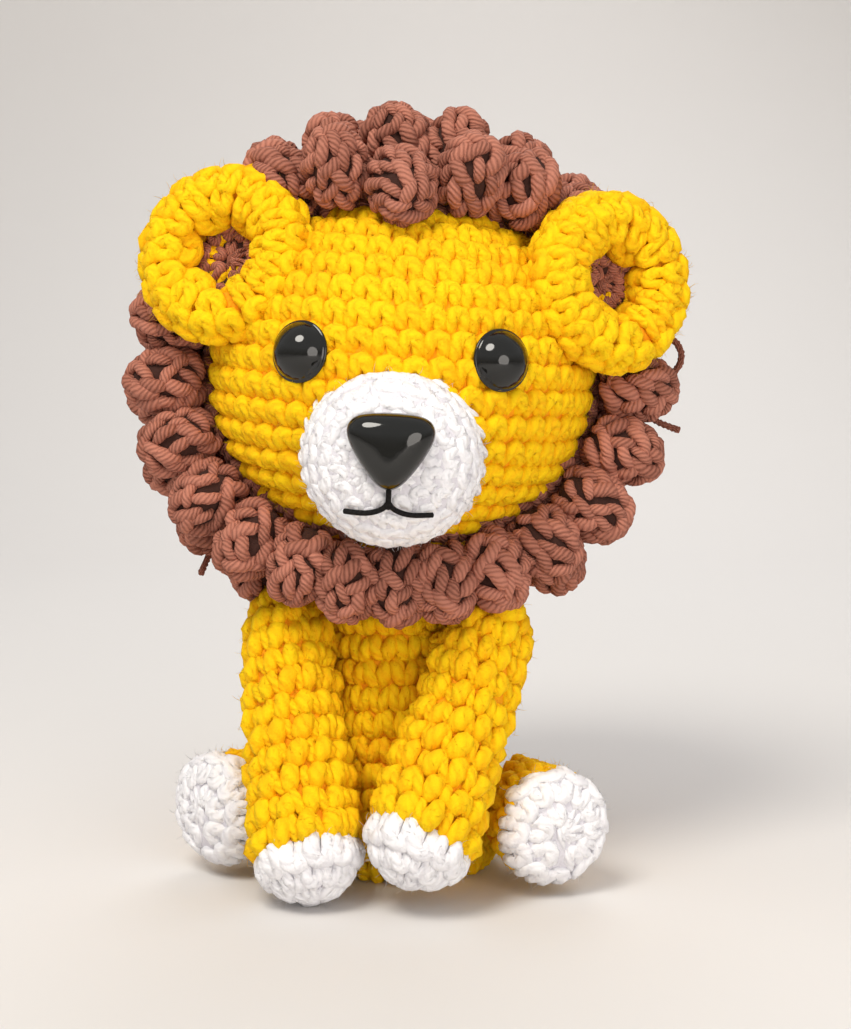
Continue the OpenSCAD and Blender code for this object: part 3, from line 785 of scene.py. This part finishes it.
# %% Outline and linings of a limb
def limb_outline(r0, r1, cap0, cap1, length):
    """From the near end, of radius r0 and rounding cap0, to the tip."""
    quarter = [sin_cos(90 * i / 8) for i in range(9)]
    parts = [(r0 * s, cap0 * (1 - c)) for s, c in quarter]
    parts += [(r0 + (r1 - r0) * smooth(t), cap0 + (length - cap0 - cap1) * t) for t in np.arange(0.125, 0.9, 0.125)]
    return parts + [(r1 * c, length - cap1 + cap1 * s) for s, c in quarter]


def limb_linings(name, outline, change, frame, tip_inset, steps, push=None):
    """The white and the yellow lining, which overlap a little at the height where the yarn changes."""
    tip = [(0, change - 1)] + [p for p in outline if p[1] > change - 1]
    rest = [p for p in outline if p[1] < change + 1] + [(0, change + 1)]
    return (revolve(name + "_tip_lining", tip, white_shade_lining, frame, inset=tip_inset, steps=32),
            revolve(name + "_lining", rest, yellow_shade_lining, frame, steps=steps, push=push))


# %% Arms
PAW_R, SHOULDER_R, PAW_LEN = 11.8, 9.6, 10.0
ARM_TOP, ARM_REACH = Vector((23.8, -12.0, 59.5)), 3.5  # the yarn reaches further up, under the mane
PAW_LIFT = {"left": 0.2, "right": 4.6}
TURN, SEED = {"left": 0.5, "right": 0.2}, {"left": 21, "right": 22}
for side, flip in SIDES.items():
    low = Vector((12.2, -36.0, PAW_R + 0.2 + PAW_LIFT[side]))
    high = ARM_TOP + (ARM_TOP - low).normalized() * ARM_REACH
    length = (low - high).length + PAW_R
    in_arm = IN_BODY @ flip @ moved(high) @ along(low - high)
    outline = limb_outline(SHOULDER_R, PAW_R, 14, PAW_R, length)
    whole = rounds_down(outline, 0.5, follow(outline)[0] - 1, inset=1.3, turn=TURN[side], lean=0.3, seed=SEED[side])
    change = length - PAW_LEN
    white = [carry(p, in_arm) for p in flattened([p for p in whole if p[0].z > change], 0.75)]
    yellow = [carry(p, in_arm) for p in whole if p[0].z <= change]
    linings = limb_linings(side + "_arm", outline, change, in_arm, 1.4, 32)
    paw = lay_fabric(f"{side}_paw_fabric", white, ridges, white_yarn, linings[0], shake=8, seed=31, fuzz=FUZZ)
    sleeve = lay_fabric(f"{side}_arm_fabric", yellow, twisted, yellow_yarn, linings[1], shake=14, uneven=0.12,
                        seed=33, fuzz=FUZZ)
    hand_over(paw, f"{side}_arm", "white_yarn", f"{side}_paw", fill=0.8)
    hand_over(sleeve, f"{side}_arm", "yellow_yarn", f"{side}_arm_sleeve", fill=0.8)

# %% Legs
FOOT_R, LEG_LEN, SPLAY, FOOT_Z, DOME = 12.0, 38.5, 33.0, 15.0, 5.0
SOLE_AT = Vector((40, -24.1, FOOT_Z))
HIP_BALL = BODY_R + 2.1  # radius of the hollow in the leg that the body sits in
hip_centre = Vector((0, 0, FOOT_Z))


def out_of_hip(point, room=0.4):
    """Pushes a point out of the hollow that the body sits in."""
    offset = point - hip_centre
    if offset.length < HIP_BALL + room:
        return hip_centre + offset.normalized() * (HIP_BALL + room)
    return point


leg_way = Vector((sin_cos(SPLAY)[0], -sin_cos(SPLAY)[1], 0))
leg_outline = limb_outline(FOOT_R - 2, FOOT_R, 9, DOME, LEG_LEN)
change = LEG_LEN - DOME
for side, flip in SIDES.items():
    in_leg = IN_BODY @ flip @ moved(SOLE_AT - leg_way * LEG_LEN) @ along(leg_way)
    whole = rounds_down(leg_outline, 0.5, follow(leg_outline)[0] - 1, inset=1.3, lean=0.3, seed=41)
    whole = [p for p in whole if (in_leg @ p[0] - hip_centre).length > HIP_BALL + 2.2]
    white = [carry(p, in_leg) for p in flattened([p for p in whole if p[0].z > change - 0.5], 0.6)]
    yellow = [carry(p, in_leg) for p in whole if p[0].z <= change - 0.5]
    linings = limb_linings(side + "_leg", leg_outline, change, in_leg, 1.1, 40, out_of_hip)
    sole = lay_fabric(f"{side}_sole_fabric", white, ridges, white_yarn, linings[0], shake=7, seed=43, fuzz=FUZZ)
    sleeve = lay_fabric(f"{side}_leg_fabric", yellow, lobes, yellow_yarn, linings[1], shake=8, seed=45, fuzz=FUZZ)
    hand_over(sole, f"{side}_leg", "white_yarn", f"{side}_sole", fill=0.8)
    hand_over(sleeve, f"{side}_leg", "yellow_yarn", f"{side}_leg_sleeve", fill=0.8)

# %% [markdown]
# ## The ears
# Each ear is a thick rolled ring on a thin floor, worked from the middle outwards over the ring and
# round its back. The middle is brown, and the first yellow Vs reach over its edge.

# %% Ears
EAR_D, EAR_RIM = 37.0, 12.0
RING_R, RIM_R = (EAR_D - EAR_RIM) / 2, EAR_RIM / 2
EAR_AT = {"left": (-37.4, -16.5, 24.1), "right": (42.6, -15.5, 21.9)}
EAR_WAY = {"left": (-0.32, -0.9, 0.28), "right": (0.48, -0.85, 0.18)}
IN_EAR = {side: IN_HEAD @ moved(EAR_AT[side]) @ along(EAR_WAY[side]) for side in SIDES}
FLOOR_LOW, FLOOR_TOP, FLOOR_R = -RIM_R + 1.6, -RIM_R + 2.8, RING_R - RIM_R + 1.5
ring = [(RING_R + RIM_R * math.cos(math.radians(a)), RIM_R * math.sin(math.radians(a))) for a in range(205, -91, -8)]
ear_outline = ring + [(RING_R, -RIM_R), (6, -RIM_R), (0, -RIM_R)]
centre_outline = [(0, -RIM_R + 2.9), (RING_R - RIM_R + 0.6, -RIM_R + 2.9)]
solid_outline = [(0, -RIM_R + 1.8), (RING_R - RIM_R * 0.9, -RIM_R + 1.8)] + ring + [(0, -RIM_R)]
floor_outline = [(0, FLOOR_LOW), (FLOOR_R, FLOOR_LOW), (FLOOR_R, FLOOR_TOP), (0, FLOOR_TOP)]
for side, in_ear in IN_EAR.items():
    places = rounds(ear_outline, 0.0, follow(ear_outline)[0] - 5, pitch=5.4, width=5.6, inset=1.2, turn=0.3,
                    seed=51, hand=-1)
    places = [p for p in (carry(p, in_ear) for p in places) if clear_of_head(p, 1)]
    lining = revolve(f"{side}_ear_lining", solid_outline[::-1], yellow_shade_lining, in_ear, inset=1.8)
    ear = lay_fabric(f"{side}_ear_fabric", places, ridges, yellow_yarn, lining, shake=8, seed=53, fuzz=FUZZ)
    hand_over(ear, "head", "yellow_yarn", f"{side}_ear", fill=0.5)
    middle = rounds(centre_outline, 0.2, 6.0, pitch=3.6, width=3.4, inset=0.3, seed=55, hand=-1)
    # the floor under the brown middle is a dark sheet of painted shade
    disc = revolve(f"{side}_ear_floor", floor_outline, brown_shade_lining, in_ear, inset=0.0, steps=32)
    centre = lay_fabric(f"{side}_ear_middle", [carry(p, in_ear) for p in middle], ridges, brown_yarn, disc,
                        shake=12, seed=57)
    hand_over(centre, "head", "brown_yarn", f"{side}_ear_centre")

# %% [markdown]
# ## The mane
# Rows of bobbles run round the face and over the back of the head. A bobble is five tall stitches
# drawn together at their tops, so it shows as a knot of short fat strands. Each one is laid strand
# by strand on an egg shape that stands on the head, so no two are the same.

# %% Where the bobbles are
FRONT = 24  # bobbles that would fit round the front row
FIRST_PSI, SWEEP = 17, 323  # the front row starts and ends beside the forelock
STAND, NECK_CLEAR = 10.4, 25.5  # middle of a bobble above the head; no bobble stands in the neck


def row_bobbles(row):
    """Foot and direction of each bobble of a row, in the head's frame."""
    count = round(FRONT * math.cos(math.radians(SIDE_LAT + row * ROW_STEP)))
    found = []
    for k in range(count):
        psi = 4 + 360 / count * (k + (row % 2) / 2) if row else FIRST_PSI + SWEEP / (count - 2) * k
        if row == 0 and abs((psi + 180) % 360 - 180) <= 7:
            continue
        foot = head_point(row_lat(row, psi), psi)
        way = head_normal(foot)
        tip = foot + way * STAND
        if math.hypot(tip.x, tip.y) > NECK_CLEAR or tip.z > 0:
            # below the chin the bobbles hang down and stand a little further out
            chin = ((1 - math.cos(math.radians(psi))) / 2) ** 8 if row == 0 else 0.0
            found.append((foot + way * 1.6 * chin, (way + Vector((0, 0.25, -0.4)) * chin).normalized()))
    return found


# %% One bobble
GOLDEN_ANGLE = 2.39996  # radians; steps of it never line up, so the strands spread evenly


def bobble_places(centre, way, wide, tall, count, toss):
    """Strands on an egg shape, spread evenly and running mostly from foot to tip."""
    side = way.orthogonal().normalized()
    front = way.cross(side)
    spin = toss.uniform(0, 2 * math.pi)
    places = []
    for i in range(count):
        c = 0.97 - 1.75 * (i + 0.5) / count
        s = math.sqrt(1 - c * c)
        a = spin + i * GOLDEN_ANGLE + toss.uniform(-0.15, 0.15)
        local = side * (s * math.cos(a)) + front * (s * math.sin(a))
        point = centre + local * wide + way * (c * tall)
        out = (local / wide + way * (c / tall)).normalized()
        run = way - out * way.dot(out)
        run = run.normalized() if run.length > 0.25 else side - out * side.dot(out)
        run = Matrix.Rotation(math.radians(toss.choice((-1, 1)) * toss.uniform(8, 55)), 3, out) @ run
        grow = toss.uniform(0.85, 1.15)
        places.append((point, out, run, (grow * 1.05, grow, grow), toss.uniform(0.0, 0.5)))
    return places


def egg(centre, way, wide, tall, steps=10):
    """Points and faces of the core of a bobble, which is dark: painted shade between its strands."""
    side = way.orthogonal().normalized()
    front = way.cross(side)
    points = [centre - way * tall]
    for i in range(1, 6):
        c, s = -math.cos(math.pi * i / 6), math.sin(math.pi * i / 6)
        points += [centre + way * (c * tall) + (side * x + front * y) * (s * wide) for x, y, _ in circle(1, 0, steps)]
    points.append(centre + way * tall)
    return points, closed_faces(5, steps)


def bobble_piece(name, feet, wide, tall, stand, count, seed):
    toss = random.Random(seed)
    places, points, faces = [], [], []
    for foot, way in feet:
        centre = foot + way * (stand + toss.uniform(-0.4, 0.4))
        lean = Vector([toss.uniform(-0.12, 0.12) for _ in range(3)])
        axis = (way + lean).normalized()
        places += [carry(p, IN_HEAD) for p in bobble_places(centre, axis, wide, tall, count, toss)]
        core, core_faces = egg(centre, axis, wide * 0.9, tall * 0.92)
        faces += [tuple(i + len(points) for i in f) for f in core_faces]
        points += [IN_HEAD @ p for p in core]
    cores = solid(name + "_core", points, faces, brown_shade_lining)
    return lay_fabric(name, places, grains, brown_yarn, cores, shake=8, uneven=0.1, seed=seed)


for row in range(ROWS):
    stand = 9.8 if row == 0 else 11.2  # the rows behind stand a little higher and show over the first
    bobbles = bobble_piece(f"mane_bobbles_{row + 1}", row_bobbles(row), 6.4, 8.5, stand, 38, 60 + row)
    hand_over(bobbles, "head", "brown_yarn", f"mane_row_{row + 1}")
lock_top, lock_tip = Vector((-2, -20, 42)), Vector((-1, -26, 36.8))
lock_feet = [((lock_top + lock_tip) / 2, (lock_tip - lock_top).normalized())]
lock = bobble_piece("forelock_bobble", lock_feet, 6.7, 9.6, 0.0, 42, 71)
hand_over(lock, "head", "brown_yarn", "forelock")

# %% [markdown]
# ## The cap under the bobbles
# Plain rounds of the brown cotton, seen as dark fabric between the bobbles; its dark lining there is painted shade. It
# is open round the neck.


# %% Mane cap
def cap_point(share, psi):
    """A point of the cap: share 0 is its front edge, below the first row, and 1 the back of the head."""
    first = row_lat(0, psi) + 1.0
    return head_point(first + (88 - first) * share, psi)


CAP_ROUNDS, NECK_OPENING = 15, 19
toss = random.Random(81)
places = []
for number in range(CAP_ROUNDS):
    share = number / CAP_ROUNDS
    reach = max(5, round(2 * math.pi * HEAD_R * math.cos(math.radians(SIDE_LAT + 91 * share)) / 4.6))
    for k in range(reach):
        psi = 360 / reach * (k + 0.4 * number)
        foot = cap_point(share, psi)
        out = head_normal(foot)
        if math.hypot(foot.x, foot.y) < NECK_OPENING and foot.z < 0:
            continue
        ahead = (cap_point(share + 0.04, psi) - foot).normalized()
        places.append(carry((foot + out, out, ahead, (0.87, 0.86, 0.8), toss.uniform(0.0, 0.4)), IN_HEAD))
steps = 56
cap_points = [IN_HEAD @ Vector()]
for share in np.linspace(0, 1, CAP_ROUNDS + 1):
    for k in range(steps):
        foot = cap_point(float(share), 360 * k / steps)
        cap_points.append(IN_HEAD @ (foot + head_normal(foot) * 0.6))
cap_faces = closed_faces(CAP_ROUNDS + 1, steps)[:-steps]
cap_faces.append(tuple(range(1 + CAP_ROUNDS * steps, 1 + (CAP_ROUNDS + 1) * steps)))
lining = solid("cap_lining", cap_points, cap_faces, brown_shade_lining)
cap = lay_fabric("mane_cap", places, lobes, brown_yarn, lining, seed=83)
hand_over(cap, "head", "brown_yarn", "mane_hood")

# %% [markdown]
# ## Eyes and nose
# Safety eyes and nose: one polished moulding each, a dome with a thin rolled rim, pushed through the
# fabric on a shank. They are turned and lofted, so their edges stay crisp where light catches them.


# %% Lofted plastic
def loft(name, rings, matrix, material):
    """A closed mesh through rings of points, all with the same number of points."""
    steps = len(rings[0])
    verts = [sum((Vector(p) for p in rings[0]), Vector()) / steps]
    for one in rings:
        verts += [Vector(p) for p in one]
    verts.append(sum((Vector(p) for p in rings[-1]), Vector()) / steps)
    piece = solid(name, [matrix @ v for v in verts], closed_faces(len(rings), steps), material)
    scene.collection.objects.link(piece)
    return piece


# %% Eyes
EYE_R, EYE_DOME, EYE_X, EYE_Z = 6.0, 4.0, 19.8, 5.4
eye_way = Vector((EYE_X, -math.sqrt(HEAD_R**2 - EYE_X**2 - EYE_Z**2), EYE_Z))
eye_at = eye_way.normalized() * 37.9 + Vector((EYE_X / 16, -EYE_X / 9, 0))
ball = (EYE_R**2 + EYE_DOME**2) / (2 * EYE_DOME)
eye_profile = [(1.6, -8), (1.6, 0.6), (5.6, 0.6), (6.2, 0.75), (6.35, 1.05), (6.3, 1.35), (6.1, 1.5)]  # shank and rim
eye_profile += [(ball * math.sin(t), EYE_DOME - ball + 1.5 + ball * math.cos(t))
                for t in np.linspace(math.asin(EYE_R / ball), 0.04, 12)]
eye_rings = [circle(r, z, 48) for r, z in eye_profile]
for side, flip in SIDES.items():
    eye = loft(f"{side}_eye_dome", eye_rings, IN_HEAD @ flip @ moved(eye_at) @ along(eye_way), black_plastic)
    hand_over(eye, "head", "black_plastic", f"{side}_eye")

# %% Nose
IN_NOSE = IN_MUZZLE @ moved((4, 0, MUZZLE_LEN)) @ turned("Y", 7)
NOSE_CORNERS = [Vector((2.9, 4.9)), Vector((2.9, -4.9)), Vector((-4.4, 0))]
NOSE_EDGE, NOSE_BLEND = 4.1, 2.2  # rounding round the corners, and how softly one gives way to the next


def nose_edge(angle):
    """A point of the rounded triangle, wide above and pointed below, x up and y across."""
    d = Vector((math.cos(angle), math.sin(angle)))
    pull = [math.exp(c.dot(d) / NOSE_BLEND) for c in NOSE_CORNERS]
    middle = sum((c * w for c, w in zip(NOSE_CORNERS, pull)), Vector((0, 0))) / sum(pull)
    return middle + d * NOSE_EDGE


def nose_ring(scale, z):
    return [(*(nose_edge(2 * math.pi * k / 64) * scale), z) for k in range(64)]


nose_rings = [nose_ring(*r) for r in ((0.3, -8), (0.3, -0.2), (0.93, -0.2), (0.985, 0.1), (1.0, 0.5))]
nose_rings += [nose_ring(math.cos(t) ** 0.62, 0.9 + 4.6 * math.sin(t)) for t in np.linspace(0.12, 1.54, 14)]
nose = loft("nose_dome", nose_rings, IN_NOSE, black_plastic)
hand_over(nose, "head", "black_plastic", "nose")

# %% [markdown]
# ## Mouth, seams and loose ends
# The mouth is two long stitches of black embroidery thread that run over the muzzle. Where a part
# is sewn on, a thinner yarn goes over the edge again and again: whip stitches.


# %% Mouth thread
def on_muzzle(up, across, lift):
    """A point that far above the muzzle's surface, in the muzzle's frame."""
    c = (math.hypot(up, across) / MUZZLE_R) ** (1 / MUZZLE_SHAPE)
    return (up, across, MUZZLE_FOOT + (MUZZLE_LEN - MUZZLE_FOOT) * math.sqrt(1 - c * c) + lift)


def polyline(points, steps):
    """Evenly spaced points on a smooth curve through a few."""
    xs = np.array(points, float)
    smoothed = []
    for v in np.linspace(0, len(points) - 1, steps):
        i = min(int(v), len(points) - 2)
        p = [xs[max(i - 1, 0)], xs[i], xs[i + 1], xs[min(i + 2, len(points) - 1)]]
        u = v - i
        smoothed.append(0.5 * (2 * p[1] + (p[2] - p[0]) * u + (2 * p[0] - 5 * p[1] + 4 * p[2] - p[3]) * u**2
                               + (3 * p[1] - p[0] - 3 * p[2] + p[3]) * u**3))
    return [tuple(p) for p in smoothed]


def strand_piece(name, paths, frame, material, sides=8):
    mesh = strand_mesh(name, paths, sides)
    mesh.transform(Matrix.Diagonal((MM, MM, MM, 1)) @ frame @ Matrix.Diagonal((1 / MM, 1 / MM, 1 / MM, 1)))
    mesh.materials.append(material)
    piece = bpy.data.objects.new(name, mesh)
    scene.collection.objects.link(piece)
    return piece


lips = [polyline([(-2.4, 0.0), (-6.0, 0.0), (-7.8, 0.0)], 8)]
for s in (-1, 1):
    lips.append(polyline([(-6.6, 0.0), (-8.0, s * 1.3), (-9.0, s * 4.2), (-9.1, s * 8.6)], 14))
paths = [[(*on_muzzle(u, a, 0.9), 0.55) for u, a in line] for line in lips]
mouth = strand_piece("mouth_stitches", paths, IN_MUZZLE, black_thread)
hand_over(mouth, "head", "black_thread", "mouth_thread")


# %% Loose ends of mane yarn
def plied(path, radius, twist):
    """Three thin plies wound round a path."""
    xs = np.array(path, float)
    ways = np.gradient(xs, axis=0)
    ways /= np.linalg.norm(ways, axis=1)[:, None]
    run = np.concatenate([[0], np.cumsum(np.linalg.norm(np.diff(xs, axis=0), axis=1))])
    across = np.cross(ways[0], [0.2, 0.9, 0.3])
    made = [[], [], []]
    for x, way, s in zip(xs, ways, run):
        across = across - way * (across @ way)
        across /= np.linalg.norm(across)
        other = np.cross(way, across)
        for i in range(3):
            a = 2 * math.pi * (s / twist + i / 3)
            made[i].append((*(x + radius * 0.55 * (math.cos(a) * across + math.sin(a) * other)), radius * 0.55))
    return made


def ring_path(foot, radius, way):
    """A loop of yarn that starts at its foot and stands out that way."""
    away = Vector(way).normalized()
    path = []
    for a in np.linspace(0.0, 6.2, 40):
        aside = Vector((-away.z, 0.3 * math.sin(a), away.x)) * (radius * math.sin(a))
        path.append(tuple(Vector(foot) + away * (radius * (1 - math.cos(a))) + aside))
    return path


loose = [ring_path((52, 4, 6), 4.6, (52, 0, 6)), ring_path((0, -3, 49), 3.4, (0, 0, 1)),
         polyline([(50, -5, -3), (55, -3.5, -7), (60.5, -4, -9)], 14),
         polyline([(-38, -2, -38), (-40.5, -1, -41), (-42, -3, -45)], 12)]
paths = [p for line in loose for p in plied(line, 0.8, 3.2)]
ends = strand_piece("loose_yarn", paths, IN_HEAD, brown_yarn, sides=6)
hand_over(ends, "head", "brown_yarn", "mane_yarn_ends")


# %% Whip stitches round a seam
def whip_ring(radius, z, count, slant, thick, matrix, out_way=0.0):
    """Slanting stitches on a ring of that radius."""
    places = []
    for x, y, _ in circle(1, 0, count):
        out = Vector((x, y, out_way)).normalized()
        run = Vector((-y * slant, x * slant, 1)).normalized()
        run = (run - out * run.dot(out)).normalized()
        places.append(carry((Vector((radius * x, radius * y, z)), out, run, (thick, 1, thick), 0.3), matrix))
    return places


def ear_seam(in_ear):
    """Stitches where the back of an ear's ring meets the head."""
    sewn = []
    for k in range(40):
        a = 2 * math.pi * k / 40
        foot = Vector(((RING_R + 2) * math.cos(a), (RING_R + 2) * math.sin(a), -RIM_R + 1))
        spot = IN_HEAD.inverted() @ (in_ear @ foot)
        share = head_share(spot)
        if 0.94 < share < 1.1:
            out = head_normal(spot)
            run = in_ear.to_3x3() @ Vector((math.cos(a + 0.5), math.sin(a + 0.5), 0.4))
            run = (run - out * run.dot(out)).normalized()
            sewn.append(carry((spot / share + out * 0.8, out, run, (1.3, 0.9, 1.2), 0.3), IN_HEAD))
    return sewn


muzzle_ring = [p for p in whip_ring(18.3, 3.4, 30, 0.9, 0.8, IN_MUZZLE, 0.4) if clear_of_head(p, 0.5)]
seam = lay_fabric("muzzle_whip_stitches", muzzle_ring, whips, white_yarn, seed=91)
hand_over(seam, "head", "white_yarn", "muzzle_seam")
for side, in_ear in IN_EAR.items():
    seam = lay_fabric(f"{side}_ear_whip_stitches", ear_seam(in_ear), whips, yellow_yarn, seed=94)
    hand_over(seam, "head", "yellow_yarn", f"{side}_ear_seam")
    node = nodes[f"{side}_shoulder_seam"]
    middle = sum((node.matrix_world @ Vector(c) for c in node.bound_box), Vector()) / 8 / MM
    at_shoulder = moved(middle) @ IN_BODY @ turned("Y", 90)
    places = whip_ring(2.6, -1.5, 9, 0.5, 1.2, at_shoulder)
    seam = lay_fabric(f"{side}_shoulder_whip_stitches", places, whips, yellow_yarn, seed=96)
    hand_over(seam, f"{side}_arm", "yellow_yarn", f"{side}_shoulder_seam")
places = whip_ring(13.5, 68.0, 22, 0.5, 1.7, Matrix.Identity(4))
neck = lay_fabric("neck_whip_stitches", places, whips, yellow_yarn, seed=93)
hand_over(neck, "neck", "yellow_yarn", "neck_seam")

# %% [markdown]
# ## The tail
# A thin crocheted tube that bends to the side, with one bobble for its tuft.

# %% Tail
tail_line = polyline([(0, 26.0, 15.6), (0, 29.6, 11.5), (0, 32, 7), (4.5, 34.6, 6.6), (9, 37, 6.6)], 15)
places, toss = [], random.Random(95)
ways = np.gradient(np.array(tail_line), axis=0)
for i in range(0, 15, 2):
    way = Vector(ways[i]).normalized()
    across = way.orthogonal().normalized()
    for k in range(5):
        out = Matrix.Rotation(2 * math.pi * (k + 0.5 * (i % 4) / 2) / 5, 3, way) @ across
        point = Vector(tail_line[i]) + out * 1.9
        places.append(carry((point, out, way, (0.68, 0.62, 0.7), toss.uniform(0.1, 0.5)), IN_BODY))
tail = lay_fabric("tail_fabric", places, lobes, yellow_yarn, seed=97)
hand_over(tail, "tail", "yellow_yarn", "tail")
tuft_at, tuft_way = Vector((13.6, 39, 6.6)), Vector((1, 0.4, 0)).normalized()
places = [carry(p, IN_BODY) for p in bobble_places(tuft_at, tuft_way, 4.8, 5.6, 15, random.Random(99))]
core, core_faces = egg(tuft_at, tuft_way, 4.4, 5.1)
core = solid("tuft_core", [IN_BODY @ p for p in core], core_faces, brown_shade_lining)
tuft = lay_fabric("tail_tuft_bobble", places, grains, brown_yarn, core, seed=101)
hand_over(tuft, "tail", "brown_yarn", "tail_tuft")

# %% [markdown]
# ## What stays as it is
# Wadding, washers and the small hidden seams keep the shapes of the design, and only get a material.

# %% Finishes of the carried-over nodes
for name, node in nodes.items():
    if name.endswith("stuffing") or name == "neck_wad":
        finish = wadding
    elif name.endswith("washer"):
        finish = white_plastic
    elif name.endswith("seam") and not node.hide_render:
        finish = yellow_shade_lining
    else:
        continue
    node.data.materials.clear()
    node.data.materials.append(finish)

# %% Sizes and finish
low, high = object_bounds()
print("visual box in mm:", [round(v / MM, 1) for v in (*low, *high)])
